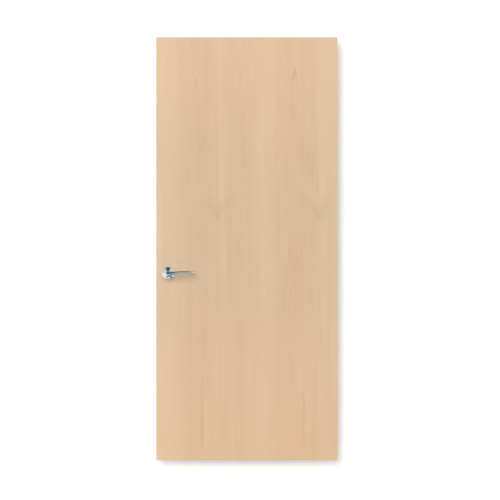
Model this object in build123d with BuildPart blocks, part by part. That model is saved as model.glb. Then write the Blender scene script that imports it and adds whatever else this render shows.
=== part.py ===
from build123d import *

import os

# A flush door leaf, 3 ft by 7 ft, faced with book-matched maple veneer, with levers on round roses.
# A slab core framed by stiles and rails is lipped on both long edges, closed by a crossband on each
# side and faced with veneer. The leaf is bored for a tubular latch and a pair of levers, and its
# hinge edge is recessed for three butt hinges.
#
# Millimetres, with +Z up, +X out of the hinge edge and -Y towards the front of the leaf. The origin
# is on the seat of the bottom hinge, in the middle of the leaf's thickness.

# Leaf
leaf_width = 914.4
leaf_height = 2133.6
leaf_thickness = 44.45
veneer_thickness = 0.6
crossband_thickness = 2.4
lipping_thickness = 8.0
stile_width = 35.0
top_rail_height = 35.0
bottom_rail_height = 60.0

# Veneer match: whole leaves of one width between the two that are trimmed at the edges
whole_veneer_leaves = 3
lock_side_veneer = 58.0
hinge_side_veneer = 98.9

# Hinge recesses, with the pilot holes of their screws in two staggered columns
hinge_height = 114.3
hinge_leaf_thickness = 3.4
hinge_backset = 6.35
top_hinge_margin = 123.8
bottom_hinge_margin = 235.0
hinge_screw_margin = 9.5
hinge_screw_stagger = 14.3
outer_screw_spacing = 88.9
inner_screw_spacing = 38.1
pilot_radius = 2.0
pilot_depth = 32.0

# Lock preparation
handle_height = 943.0
backset = 60.3
cross_bore_radius = 27.0
latch_bore_radius = 12.7

# Latch
faceplate_width = 25.4
faceplate_height = 57.15
faceplate_thickness = 3.2
faceplate_corner_radius = 6.35
faceplate_screw_spacing = 41.3
bolt_width = 12.7
bolt_height = 17.0
bolt_length = 27.0
bolt_rounding = 1.5
case_gap = 0.2
hub_box_width = 15.0
hub_box_height = 22.0
hub_box_tail = 12.0
hub_radius = 8.0
hub_gap = 0.4
slide_gap = 0.3

# Screws and bolts, with slotted heads whose cones are as deep as the head is wider than the shank
countersink_angle = 90.0
wood_screw_radius = 1.9
wood_screw_head_radius = 4.2
wood_screw_length = 20.0
rose_bolt_radius = 1.9
rose_bolt_head_radius = 3.8
screw_gap = 0.1
slot_width = 1.0
slot_depth = 0.9

# Rose
rose_overlap = 4.0
rose_rim = 4.0
rose_height = 10.5
rose_crown_radius = 12.4
rose_wall = 1.5
rose_bevel = 0.9
rose_hole_gap = 0.6
plate_thickness = 2.5
plate_gap = 0.4
plate_hub_radius = 14.0
plate_hub_height = 6.5
fixing_centres = 38.0
boss_radius = 4.0
boss_length = 12.0
boss_skin = 1.0

# Spindle, and the neck that each lever turns on
spindle_side = 8.0
spindle_end_gap = 0.5
socket_depth = 24.0
neck_radius = 9.0
neck_gap = 0.1
neck_tail = 3.5
collar_radius = 12.0
collar_height = 2.4
collar_slope = 2.0
collar_gap = 0.5
waist_radius = 8.2
waist_end = 34.0
neck_head_radius = 7.0
ring_gap = 0.3
ring_thickness = 1.2
ring_seat_radius = 8.0
ring_radius = 11.2
ring_opening = 5.0
grub_radius = 2.5
grub_height = 18.5
grub_recess = 0.4
hex_key_size = 2.5
hex_key_depth = 2.2

# Lever: oval sections along the arm, each with its place from the spindle's axis, its centre above
# the axis and out of the leaf's face, and half its height and depth
lever_projection = 45.0
lever_sections = (
    (-17.0, -6.5, lever_projection, 6.0, 4.5),
    (-4.0, -6.2, lever_projection, 15.0, 10.9),
    (14.0, -3.0, lever_projection, 11.8, 9.9),
    (42.0, 3.6, lever_projection, 6.4, 8.0),
    (80.0, 5.7, lever_projection, 5.8, 7.5),
    (116.0, 5.2, lever_projection - 1.2, 5.5, 7.1),
    (141.0, 4.2, lever_projection - 7.0, 3.6, 4.6),
)

# Places that follow from the sizes above
hinge_edge = hinge_leaf_thickness
lock_edge = hinge_edge - leaf_width
leaf_bottom = -(bottom_hinge_margin + hinge_height / 2)
leaf_top = leaf_bottom + leaf_height
front_face = -leaf_thickness / 2
back_face = leaf_thickness / 2
crossband_face = leaf_thickness / 2 - veneer_thickness
core_face = crossband_face - crossband_thickness
lock_stile_edge = lock_edge + lipping_thickness
hinge_stile_edge = hinge_edge - lipping_thickness
core_left = lock_stile_edge + stile_width
core_right = hinge_stile_edge - stile_width
core_bottom = leaf_bottom + bottom_rail_height
core_top = leaf_top - top_rail_height
handle_x = lock_edge + backset
handle_z = leaf_bottom + handle_height
top_hinge_z = leaf_top - top_hinge_margin - hinge_height / 2
hinge_heights = [0.0, top_hinge_z / 2, top_hinge_z]
hinge_seat_front = front_face + hinge_backset
screw_column_inner = hinge_seat_front + hinge_screw_margin
screw_column_outer = screw_column_inner + hinge_screw_stagger
rose_radius = cross_bore_radius + rose_overlap
handle_axis = Axis((handle_x, 0, handle_z), (0, -1, 0))
leaf_foot = Plane.XY.offset(leaf_bottom)
front_plane = Plane((handle_x, front_face, handle_z), x_dir=(1, 0, 0), z_dir=(0, -1, 0))
edge_plane = Plane((lock_edge, 0, handle_z), x_dir=(0, -1, 0), z_dir=(-1, 0, 0))
profile_plane = Plane((handle_x, front_face, handle_z), x_dir=(1, 0, 0), z_dir=(0, 0, 1))
grub_plane = Plane((handle_x, front_face - grub_height, handle_z - spindle_side / 2), z_dir=(0, 0, -1))
rose_hole_radius = neck_radius + rose_hole_gap
collar_foot = rose_height + collar_gap

os.makedirs("parts", exist_ok=True)


def save(piece, name):
    piece.label = name
    export_step(piece, f"parts/{name}.step")


def slab(left, right, one_face, other_face, foot, height):
    with BuildPart() as board:
        with BuildSketch(Plane.XY.offset(foot)):
            with Locations(((left + right) / 2, (one_face + other_face) / 2)):
                Rectangle(right - left, abs(other_face - one_face))
        extrude(amount=height)
    return board.part


# The room made in the leaf for its fittings
with BuildPart() as cross_bore:
    with BuildSketch(front_plane):
        Circle(cross_bore_radius)
    extrude(amount=-leaf_thickness)

with BuildPart() as latch_bore:
    with BuildSketch(edge_plane):
        Circle(latch_bore_radius)
    extrude(amount=-backset)

with BuildPart() as faceplate_mortise:
    with BuildSketch(edge_plane):
        RectangleRounded(faceplate_width, faceplate_height, faceplate_corner_radius)
    extrude(amount=-faceplate_thickness)

with BuildPart() as faceplate_pilots:
    with BuildSketch(edge_plane):
        with GridLocations(0, faceplate_screw_spacing, 1, 2):
            Circle(wood_screw_radius + screw_gap)
    extrude(amount=-(wood_screw_length + screw_gap))

with BuildPart() as hinge_recesses:
    with BuildSketch(Plane.YZ):
        for height in hinge_heights:
            with Locations(((hinge_seat_front + back_face) / 2, height)):
                Rectangle(back_face - hinge_seat_front, hinge_height)
    extrude(amount=hinge_leaf_thickness)

with BuildPart() as hinge_pilots:
    with BuildSketch(Plane.YZ):
        for height in hinge_heights:
            with Locations((screw_column_inner, height)):
                with GridLocations(0, outer_screw_spacing, 1, 2):
                    Circle(pilot_radius)
            with Locations((screw_column_outer, height)):
                with GridLocations(0, inner_screw_spacing, 1, 2):
                    Circle(pilot_radius)
    extrude(amount=-pilot_depth)

# Framing and core
with BuildPart() as core:
    add(slab(core_left, core_right, -core_face, core_face, core_bottom, core_top - core_bottom))
    add(cross_bore.part, mode=Mode.SUBTRACT)
    add(latch_bore.part, mode=Mode.SUBTRACT)
save(core.part, "core_slab")

with BuildPart() as lock_stile:
    add(slab(lock_stile_edge, core_left, -core_face, core_face, leaf_bottom, leaf_height))
    add(cross_bore.part, mode=Mode.SUBTRACT)
    add(latch_bore.part, mode=Mode.SUBTRACT)
    add(faceplate_pilots.part, mode=Mode.SUBTRACT)
save(lock_stile.part, "lock_stile")

with BuildPart() as hinge_stile:
    add(slab(core_right, hinge_stile_edge, -core_face, core_face, leaf_bottom, leaf_height))
    add(hinge_pilots.part, mode=Mode.SUBTRACT)
save(hinge_stile.part, "hinge_stile")

save(slab(core_left, core_right, -core_face, core_face, leaf_bottom, bottom_rail_height), "bottom_rail")
save(slab(core_left, core_right, -core_face, core_face, core_top, top_rail_height), "top_rail")

# Lippings on the two long edges, under the crossbands
with BuildPart() as lock_lipping:
    add(slab(lock_edge, lock_stile_edge, -core_face, core_face, leaf_bottom, leaf_height))
    add(faceplate_mortise.part, mode=Mode.SUBTRACT)
    add(latch_bore.part, mode=Mode.SUBTRACT)
    add(faceplate_pilots.part, mode=Mode.SUBTRACT)
save(lock_lipping.part, "lock_lipping")

with BuildPart() as hinge_lipping:
    add(slab(hinge_stile_edge, hinge_edge, -core_face, core_face, leaf_bottom, leaf_height))
    add(hinge_recesses.part, mode=Mode.SUBTRACT)
    add(hinge_pilots.part, mode=Mode.SUBTRACT)
save(hinge_lipping.part, "hinge_lipping")

# Crossbands, then the veneer leaves from the lock edge to the hinge edge
veneer_leaf_width = (leaf_width - lock_side_veneer - hinge_side_veneer) / whole_veneer_leaves
first_seam = lock_edge + lock_side_veneer
inner_seams = [first_seam + number * veneer_leaf_width for number in range(whole_veneer_leaves + 1)]
seams = [lock_edge, *inner_seams, hinge_edge]
for side, outward in (("front", -1), ("back", 1)):
    with BuildPart() as crossband:
        inner_face = outward * core_face
        add(slab(lock_edge, hinge_edge, inner_face, outward * crossband_face, leaf_bottom, leaf_height))
        add(cross_bore.part, mode=Mode.SUBTRACT)
        add(hinge_recesses.part, mode=Mode.SUBTRACT)
    save(crossband.part, f"{side}_crossband")
    for number, (left, right) in enumerate(zip(seams, seams[1:]), start=1):
        with BuildPart() as veneer_leaf:
            add(slab(left, right, outward * crossband_face, outward * back_face, leaf_bottom, leaf_height))
            add(cross_bore.part, mode=Mode.SUBTRACT)
            add(hinge_recesses.part, mode=Mode.SUBTRACT)
        save(veneer_leaf.part, f"{side}_veneer_leaf_{number}")


# A slotted screw whose flat head lies in the given plane, above its origin by the given rise
def countersunk_screw(plane, rise, shank_radius, head_radius, length):
    place = Plane(plane * Location((0, rise, 0)))
    with BuildPart() as screw:
        with BuildSketch(place):
            Circle(head_radius)
        with BuildSketch(place.offset(shank_radius - head_radius)):
            Circle(shank_radius)
        loft()
        with BuildSketch(place):
            Circle(shank_radius)
        extrude(amount=-length)
        with BuildSketch(place):
            Rectangle(2 * head_radius, slot_width)
        extrude(amount=-slot_depth, mode=Mode.SUBTRACT)
    return screw.part


# Latch: faceplate, bolt drawn back flush with it, case, and the two screws in the edge
with BuildPart() as faceplate:
    with BuildSketch(edge_plane):
        RectangleRounded(faceplate_width, faceplate_height, faceplate_corner_radius)
        Rectangle(bolt_width + 2 * slide_gap, bolt_height + 2 * slide_gap, mode=Mode.SUBTRACT)
    extrude(amount=-faceplate_thickness)
    with Locations(edge_plane):
        with GridLocations(0, faceplate_screw_spacing, 1, 2):
            CounterSinkHole(
                wood_screw_radius + screw_gap,
                wood_screw_head_radius + screw_gap,
                counter_sink_angle=countersink_angle,
            )
save(faceplate.part, "latch_faceplate")

with BuildPart() as bolt:
    with BuildSketch(edge_plane):
        Rectangle(bolt_width, bolt_height)
    extrude(amount=-bolt_length)
    fillet(bolt.faces().sort_by(Axis.X)[0].edges(), bolt_rounding)
save(bolt.part, "latch_bolt")

with BuildPart() as case:
    with BuildSketch(edge_plane.offset(-faceplate_thickness)):
        Circle(latch_bore_radius - case_gap)
    extrude(amount=-(backset - hub_box_tail - faceplate_thickness))
    with BuildSketch(edge_plane.offset(-(backset - hub_box_tail))):
        Rectangle(hub_box_width, hub_box_height)
    extrude(amount=-2 * hub_box_tail)
    with BuildSketch(edge_plane):
        Rectangle(bolt_width + 2 * slide_gap, bolt_height + 2 * slide_gap)
    extrude(amount=-(bolt_length + slide_gap), mode=Mode.SUBTRACT)
    with BuildSketch(front_plane):
        Circle(hub_radius + hub_gap)
    extrude(amount=-leaf_thickness, mode=Mode.SUBTRACT)
save(case.part, "latch_case")

for end, rise in (("lower", -faceplate_screw_spacing / 2), ("upper", faceplate_screw_spacing / 2)):
    screw = countersunk_screw(
        edge_plane,
        rise,
        wood_screw_radius,
        wood_screw_head_radius,
        wood_screw_length,
    )
    save(screw, f"{end}_faceplate_screw")


# A plate over the front end of the cross bore, with a hub for the neck and two bosses for the bolts
def rose_plate(bolts_enter_here):
    with BuildPart() as plate:
        with BuildSketch(front_plane):
            Circle(rose_radius - rose_wall - plate_gap)
        extrude(amount=plate_thickness)
        with BuildSketch(front_plane):
            Circle(plate_hub_radius)
        extrude(amount=plate_hub_height)
        with BuildSketch(front_plane):
            with GridLocations(0, fixing_centres, 1, 2):
                Circle(boss_radius)
        extrude(amount=-boss_length)
        with BuildSketch(front_plane):
            Circle(neck_radius + neck_gap)
        extrude(amount=plate_hub_height, mode=Mode.SUBTRACT)
        if bolts_enter_here:
            with Locations(front_plane.offset(plate_thickness)):
                with GridLocations(0, fixing_centres, 1, 2):
                    CounterSinkHole(
                        rose_bolt_radius + screw_gap,
                        rose_bolt_head_radius + screw_gap,
                        counter_sink_angle=countersink_angle,
                    )
        else:
            with BuildSketch(front_plane.offset(plate_thickness - boss_skin)):
                with GridLocations(0, fixing_centres, 1, 2):
                    Circle(rose_bolt_radius + screw_gap)
            extrude(amount=-(boss_length + plate_thickness), mode=Mode.SUBTRACT)
    return plate.part


save(rose_plate(bolts_enter_here=False), "front_rose_plate")
save(mirror(rose_plate(bolts_enter_here=True), about=Plane.XZ), "back_rose_plate")

# The bolts run from the back plate into blind holes in the bosses of the front plate
for end, rise in (("lower", -fixing_centres / 2), ("upper", fixing_centres / 2)):
    rose_bolt = countersunk_screw(
        front_plane.offset(plate_thickness),
        rise,
        rose_bolt_radius,
        rose_bolt_head_radius,
        leaf_thickness + 2 * plate_thickness - boss_skin - screw_gap,
    )
    save(mirror(rose_bolt, about=Plane.XZ), f"{end}_rose_bolt")

# Rose covers: shallow cones with a bevelled rim and crown
with BuildPart() as rose:
    with BuildSketch(profile_plane):
        with BuildLine():
            Polyline(
                (rose_radius, 0),
                (rose_radius, -rose_rim),
                (rose_crown_radius, -rose_height),
                (rose_hole_radius, -rose_height),
                (rose_hole_radius, rose_wall - rose_height),
                (rose_crown_radius, rose_wall - rose_height),
                (rose_radius - rose_wall, rose_wall - rose_rim),
                (rose_radius - rose_wall, 0),
                close=True,
            )
        face = make_face()
        chamfer(face.vertices().group_by(Axis.X)[-1].sort_by(Axis.Y)[0], rose_bevel)
        chamfer(face.vertices().group_by(Axis.Y)[0].sort_by(Axis.X)[-1], rose_bevel)
    revolve(axis=handle_axis)
save(rose.part, "front_rose_cover")
save(mirror(rose.part, about=Plane.XZ), "back_rose_cover")

# Levers, each on a neck that turns in its rose plate and is bored square for the spindle
with BuildPart() as lever:
    for along, rise, out, half_height, half_depth in lever_sections:
        with BuildSketch(Plane.YZ.offset(handle_x + along)):
            with Locations((front_face - out, handle_z + rise)):
                Ellipse(half_depth, half_height)
    loft()
    with BuildSketch(profile_plane):
        with BuildLine():
            Polyline(
                (0, neck_tail),
                (neck_radius, neck_tail),
                (neck_radius, ring_gap + ring_thickness),
                (ring_seat_radius, ring_gap + ring_thickness),
                (ring_seat_radius, ring_gap),
                (neck_radius, ring_gap),
                (neck_radius, -collar_foot),
                (collar_radius, -collar_foot),
                (collar_radius, -collar_foot - collar_height),
                (waist_radius, -collar_foot - collar_height - collar_slope),
                (waist_radius, -waist_end),
                (neck_head_radius, -lever_projection),
                (0, -lever_projection),
                close=True,
            )
        make_face()
    revolve(axis=handle_axis)
    with BuildSketch(front_plane.offset(-neck_tail)):
        Rectangle(spindle_side, spindle_side)
    extrude(amount=socket_depth, mode=Mode.SUBTRACT)
    with BuildSketch(grub_plane):
        Circle(grub_radius + screw_gap)
    extrude(amount=waist_radius, mode=Mode.SUBTRACT)
save(lever.part, "front_lever")
save(mirror(lever.part, about=Plane.XZ), "back_lever")

# Grub screws, entering each neck from below and bearing on the spindle
with BuildPart() as grub:
    with BuildSketch(grub_plane):
        Circle(grub_radius)
    extrude(amount=waist_radius - grub_recess - spindle_side / 2)
    with BuildSketch(grub_plane.offset(waist_radius - grub_recess - spindle_side / 2)):
        RegularPolygon(hex_key_size / 2, 6, major_radius=False)
    extrude(amount=-hex_key_depth, mode=Mode.SUBTRACT)
save(grub.part, "front_grub_screw")
save(mirror(grub.part, about=Plane.XZ), "back_grub_screw")

# Retaining rings, open at the foot, which hold each neck in its plate from behind
with BuildPart() as ring:
    with BuildSketch(front_plane.offset(-ring_gap)):
        Circle(ring_radius)
        Circle(ring_seat_radius + screw_gap, mode=Mode.SUBTRACT)
        with Locations((0, -ring_radius)):
            Rectangle(ring_opening, 2 * ring_seat_radius, mode=Mode.SUBTRACT)
    extrude(amount=-ring_thickness)
save(ring.part, "front_retaining_ring")
save(mirror(ring.part, about=Plane.XZ), "back_retaining_ring")

# Spindle, and the hub it turns in the latch case
with BuildPart() as spindle:
    with BuildSketch(front_plane.offset(-leaf_thickness / 2)):
        Rectangle(spindle_side, spindle_side)
    extrude(amount=leaf_thickness / 2 - neck_tail + socket_depth - spindle_end_gap, both=True)
save(spindle.part, "spindle")

with BuildPart() as hub:
    with BuildSketch(front_plane.offset(-leaf_thickness / 2)):
        Circle(hub_radius)
        Rectangle(spindle_side, spindle_side, mode=Mode.SUBTRACT)
    extrude(amount=hub_box_width / 2, both=True)
save(hub.part, "latch_hub")
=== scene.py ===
import math

import bmesh
import bpy
from mathutils import Matrix, Vector


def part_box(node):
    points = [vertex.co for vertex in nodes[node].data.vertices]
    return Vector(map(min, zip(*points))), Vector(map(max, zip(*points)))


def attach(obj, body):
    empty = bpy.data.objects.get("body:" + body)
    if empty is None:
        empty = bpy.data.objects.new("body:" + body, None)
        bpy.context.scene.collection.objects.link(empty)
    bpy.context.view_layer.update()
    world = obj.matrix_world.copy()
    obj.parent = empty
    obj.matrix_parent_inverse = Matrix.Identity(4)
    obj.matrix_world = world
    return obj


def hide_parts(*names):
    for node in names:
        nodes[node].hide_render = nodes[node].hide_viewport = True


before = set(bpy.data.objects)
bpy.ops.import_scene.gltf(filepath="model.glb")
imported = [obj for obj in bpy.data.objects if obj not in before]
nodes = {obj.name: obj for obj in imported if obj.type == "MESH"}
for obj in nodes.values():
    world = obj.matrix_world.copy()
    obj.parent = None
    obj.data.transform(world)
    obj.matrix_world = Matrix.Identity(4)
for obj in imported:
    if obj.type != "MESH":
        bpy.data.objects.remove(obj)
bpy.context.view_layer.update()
scene = bpy.context.scene

# Places read from the frame, in metres: +Z up, +X out of the hinge edge, -Y towards the front
leafLow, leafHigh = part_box("front_crossband")
leafHigh = Vector((leafHigh.x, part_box("back_crossband")[1].y, leafHigh.z))
lockEdge, hingeEdge = leafLow.x, leafHigh.x
leafBottom, leafTop = leafLow.z, leafHigh.z
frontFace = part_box("front_veneer_leaf_3")[0].y
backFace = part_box("back_veneer_leaf_3")[1].y
roseLow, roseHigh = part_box("front_rose_cover")
handleX = (roseLow.x + roseHigh.x) / 2
handleZ = (roseLow.z + roseHigh.z) / 2


# Node trees are written as sums: a Signal is one output socket that can be added, multiplied and shaped
class Signal:
    def __init__(self, tree, socket):
        self.tree = tree
        self.socket = socket

    def math(self, operation, *others, clamp=False):
        node = self.tree.nodes.new("ShaderNodeMath")
        node.operation = operation
        node.use_clamp = clamp
        for slot, value in zip(node.inputs, (self, *others)):
            if isinstance(value, Signal):
                self.tree.links.new(value.socket, slot)
            else:
                slot.default_value = value
        return Signal(self.tree, node.outputs[0])

    def __add__(self, other):
        return self.math("ADD", other)

    def __sub__(self, other):
        return self.math("SUBTRACT", other)

    def __mul__(self, other):
        return self.math("MULTIPLY", other)

    def __truediv__(self, other):
        return self.math("DIVIDE", other)

    def squared(self):
        return self.math("MULTIPLY", self)

    def bell(self, centre, width):  # 1 at the centre, falling away smoothly on both sides
        off = (self - centre) / width
        return (off.squared() * -1.0).math("EXPONENT")

    def step(self, start, end):  # rises smoothly from 0 at start to 1 at end
        node = self.tree.nodes.new("ShaderNodeMapRange")
        node.interpolation_type = "SMOOTHSTEP"
        self.tree.links.new(self.socket, node.inputs["Value"])
        node.inputs["From Min"].default_value = start
        node.inputs["From Max"].default_value = end
        return Signal(self.tree, node.outputs["Result"])

    def between(self, low, high, softness):
        return self.step(low - softness, low + softness) - self.step(high - softness, high + softness)

    def curve(self, points, span):  # a smooth line through points whose places are shares of the span
        node = self.tree.nodes.new("ShaderNodeFloatCurve")
        line = node.mapping.curves[0]
        node.mapping.use_clip = False
        while len(line.points) < len(points):
            line.points.new(0.5, 0.5)
        for point, (place, value) in zip(line.points, points):
            point.location = (place, value / 20 + 0.5)
        node.mapping.update()
        self.tree.links.new((self / span).socket, node.inputs["Value"])
        return (Signal(self.tree, node.outputs["Value"]) - 0.5) * 20.0


def vector(tree, x, y, z):
    node = tree.nodes.new("ShaderNodeCombineXYZ")
    for slot, value in zip(node.inputs, (x, y, z)):
        if isinstance(value, Signal):
            tree.links.new(value.socket, slot)
        else:
            slot.default_value = value
    return node.outputs[0]


def noise(tree, place, scale, detail=2.0, roughness=0.5):  # from about -0.5 to 0.5
    node = tree.nodes.new("ShaderNodeTexNoise")
    tree.links.new(place, node.inputs["Vector"])
    node.inputs["Scale"].default_value = scale
    node.inputs["Detail"].default_value = detail
    node.inputs["Roughness"].default_value = roughness
    return Signal(tree, node.outputs["Fac"]) - 0.5


def objectPlace(tree):
    node = tree.nodes.new("ShaderNodeTexCoord")
    parts = tree.nodes.new("ShaderNodeSeparateXYZ")
    tree.links.new(node.outputs["Object"], parts.inputs[0])
    return [Signal(tree, out) for out in parts.outputs]


def tint(tree, colour, amount, weights):  # colour * (1 + amount * weights)
    spread = tree.nodes.new("ShaderNodeVectorMath")
    spread.operation = "SCALE"
    spread.inputs[0].default_value = weights
    tree.links.new(amount.socket, spread.inputs["Scale"])
    result = tree.nodes.new("ShaderNodeVectorMath")
    result.operation = "MULTIPLY_ADD"
    tree.links.new(spread.outputs[0], result.inputs[0])
    if isinstance(colour, bpy.types.NodeSocket):
        tree.links.new(colour, result.inputs[1])
        tree.links.new(colour, result.inputs[2])
    else:
        result.inputs[1].default_value = colour
        result.inputs[2].default_value = colour
    return result.outputs[0]


def newMaterial(name, metallic=0.0, roughness=0.5, specular=0.5):
    material = bpy.data.materials.new(name)
    material.use_nodes = True
    tree = material.node_tree
    shader = tree.nodes["Principled BSDF"]
    shader.inputs["Metallic"].default_value = metallic
    shader.inputs["Roughness"].default_value = roughness
    shader.inputs["Specular IOR Level"].default_value = specular
    return material, tree, shader


def bump(tree, shader, height, distance, strength):
    node = tree.nodes.new("ShaderNodeBump")
    node.inputs["Distance"].default_value = distance
    node.inputs["Strength"].default_value = strength
    tree.links.new(height.socket, node.inputs["Height"])
    tree.links.new(node.outputs[0], shader.inputs["Normal"])


def paint(names, material):
    for name in names:
        mesh = nodes[name].data
        mesh.materials.clear()
        mesh.materials.append(material)


# Face veneer: running book match of flat-cut maple, under a satin lacquer. Places are in metres from
# the lock edge and above the foot, and a tone step is about one percent of brightness.
veneer = {
    "colour": (0.730, 0.524, 0.338),
    "toneWeights": (0.0066, 0.0113, 0.0168),  # for broad bands
    "markWeights": (0.0065, 0.0102, 0.0124),  # for grain and marks, which are greyer
    "warmWeights": (0.010, 0.0, -0.012),
    "blushWeights": (0.020, -0.028, 0.010),
    "roughness": 0.5,
    "glossPatches": 0.08,
    "specular": 0.3,
    "layers": {  # scale across and up, change of seed at a seam, detail, roughness, strength
        "slow": (5.0, 1.6, 3.0, 1.0, 0.5, 0.020),
        "quick": (14.0, 7.0, 5.0, 1.0, 0.5, 0.005),
        "broad": (24.0, 1.5, 7.0, 2.0, 0.6, 11.5),
        "mottle": (60.0, 18.0, 2.0, 2.0, 0.6, 4.5),
        "medium": (130.0, 2.2, 5.0, 2.0, 0.6, 6.0),
        "fine": (420.0, 7.0, 1.0, 2.0, 0.6, 4.5),
        "ripple": (12.0, 55.0, 4.0, 1.0, 0.5, 3.0),
        "pores": (2000.0, 70.0, 1.0, 2.0, 0.5, 1.0),
        "breakUp": (90.0, 9.0, 9.0, 2.0, 0.5, 2.4),
        "lively": (9.0, 2.0, 6.0, 1.0, 0.5, 2.4),
        "blush": (11.0, 2.6, 8.0, 2.0, 0.5, 1.0),
    },
    "poreTone": -4.5,
    "baseTone": 0.5,
    "seamFade": (1.0, 1.5),  # heights between which a tone step at a seam comes in
    "poreMarks": 0.2,
    "patchStrength": 1.9,
    "streakStrength": 1.3,
    "streakEnd": 0.05,
}
tips = {  # cathedral tips, and the fine lines that run together below them
    "rounding": 0.000004, "darkOff": 0.0025, "darkWidth": 0.0030, "paleOff": 0.0115, "paleWidth": 0.0045,
    "nestRounding": 0.00001, "nestLines": 230.0, "nestWidth": 0.06,
}
butterfly = {  # distances off the seam and above the middle of the figure
    "loopOff": 0.021, "loopWidth": 0.013, "loopLift": 0.105, "loopHeight": 0.075,
    "lineWidth": 0.0030, "lineLow": 0.02, "lineHigh": 0.27, "lineTone": -5.0,
    "bandSlope": 0.85, "bandLift": -0.012, "bandHeight": 0.036, "bandEnd": 0.105, "bandFull": 0.035,
    "spotWidth": 0.009, "spotLift": -0.045, "spotHeight": 0.026,
}
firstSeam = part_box("front_veneer_leaf_1")[1].x - lockEdge
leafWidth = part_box("front_veneer_leaf_2")[1].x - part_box("front_veneer_leaf_2")[0].x

frontFigure = {
    "seed": 0.0,
    "heightTone": [
        (0, 0.4), (0.1, 0.8), (0.23, 0.8), (0.36, -1.2), (0.5, -0.6), (0.64, 0.1), (0.77, 3.0),
        (0.9, 6.0), (1, 8.3),
    ],
    "heightWarmth": [
        (0, 4.4), (0.1, 4.0), (0.23, 2.4), (0.36, 0.8), (0.5, 0.0), (0.64, 0.4), (0.77, 2.6),
        (0.9, 5.2), (1, 7.0),
    ],
    "acrossWarmth": [
        (0, 1.6), (0.06, 1.2), (0.15, 0.4), (0.3, 0.0), (0.8, 0.0), (0.9, -0.8), (0.96, -1.4),
        (1, -1.4),
    ],
    "acrossTone": [
        (0, 9), (0.035, 7.6), (0.09, 6.2), (0.15, 2.2), (0.22, -0.6), (0.33, -0.2), (0.42, 0.0),
        (0.50, 0.6), (0.555, 2.4), (0.61, 2.8), (0.67, 0.2), (0.74, -1.6), (0.83, -1.4), (0.88, -0.2),
        (0.95, 2.2), (1, 3.4),
    ],
    "seamEdges": [  # place, tone beyond it, how far it reaches, softness
        (0.3105, 4.2, 0.075, 0.003), (0.8155, 2.6, 0.080, 0.010),
    ],
    "patches": [  # place across and up, half width and height, tone
        (0.215, 1.62, 0.040, 0.14, -1.8), (0.243, 1.53, 0.026, 0.10, -1.8),
        (0.430, 1.58, 0.042, 0.20, -2.0), (0.690, 1.76, 0.022, 0.10, -1.6),
        (0.722, 1.63, 0.024, 0.09, -2.4), (0.757, 1.54, 0.024, 0.08, -3.0),
        (0.790, 1.46, 0.018, 0.07, -3.0), (0.420, 1.05, 0.028, 0.16, -1.6),
        (0.225, 1.12, 0.034, 0.14, -1.6), (0.702, 1.00, 0.052, 0.24, -2.2),
        (0.650, 0.78, 0.020, 0.10, -2.2), (0.432, 0.63, 0.022, 0.09, -2.2),
        (0.540, 1.12, 0.022, 0.30, 2.4), (0.342, 1.02, 0.018, 0.12, 2.4),
        (0.845, 1.10, 0.014, 0.08, 2.6), (0.012, 1.15, 0.022, 0.16, 2.8),
        (0.570, 1.72, 0.030, 0.26, 1.6), (0.110, 0.74, 0.050, 0.13, -0.9),
        (0.770, 0.10, 0.080, 0.22, -0.9), (0.900, 0.08, 0.020, 0.25, -1.6),
        (0.3105, 1.232, 0.022, 0.024, -2.4), (0.8155, 1.240, 0.022, 0.024, -2.0),
        (0.300, 0.30, 0.030, 0.30, 1.0),
    ],
    "streaks": [  # place, half width, low end, high end, tone
        (0.2310, 0.0040, 0.08, 0.78, -5.2), (0.2360, 0.0050, 0.06, 0.30, -3.0),
        (0.2245, 0.0032, 0.08, 0.32, -4.6), (0.2390, 0.0026, 0.04, 0.16, -3.0),
        (0.2060, 0.0026, 0.42, 1.00, -1.6), (0.2130, 0.0022, 0.40, 0.92, -1.6),
        (0.1960, 0.0026, 0.05, 0.42, -1.6), (0.7430, 0.0030, 0.22, 0.98, -3.0),
        (0.7430, 0.0036, 0.07, 0.36, -5.4), (0.7060, 0.0028, 0.74, 1.16, -3.2),
        (0.6880, 0.0028, 0.36, 0.96, -2.0), (0.6630, 0.0030, 0.84, 1.20, -2.2),
        (0.7270, 0.0026, 0.66, 1.10, -2.0), (0.4250, 0.0080, 1.900, 1.970, -7.0),
        (0.4480, 0.0026, 1.40, 1.86, -2.0), (0.6820, 0.0026, 1.40, 1.76, -2.2),
        (0.5560, 0.0026, 0.20, 0.90, -1.4), (0.1180, 0.0026, 0.60, 1.40, -1.2),
        (0.5000, 0.0026, 1.30, 1.90, -1.2), (0.3620, 0.0024, 0.20, 0.70, -1.4),
        (0.4900, 0.0026, 0.10, 0.55, -1.4), (0.8700, 0.0026, 0.20, 0.80, -1.4),
    ],
    "vees": [  # place and height of the tip, slope of the legs, their length, tone, tone above them
        (0.1978, 1.918, 0.200, 0.125, -6.0, 4.0), (0.6958, 1.965, 0.155, 0.165, -9.0, 1.4),
    ],
    "eyes": [  # place, height, half width and height, tone
        (0.6945, 1.957, 0.0070, 0.024, -16.0), (0.1978, 1.895, 0.0060, 0.016, -3.5),
        (0.7313, 1.600, 0.0050, 0.010, 1.6),
    ],
    "butterflies": [  # seam, height, tone of the loops left and right, of the band
        (0.3105, 1.262, 3.4, 5.0, -5.6), (0.8155, 1.268, 3.8, 4.4, -5.0),
    ],
    "nests": [  # place and height of the tip, slope of the lines, half their height, contrast
        (0.2310, 0.93, 0.21, 0.13, 13.0), (0.7140, 0.80, 0.10, 0.20, 12.0),
    ],
}
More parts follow.
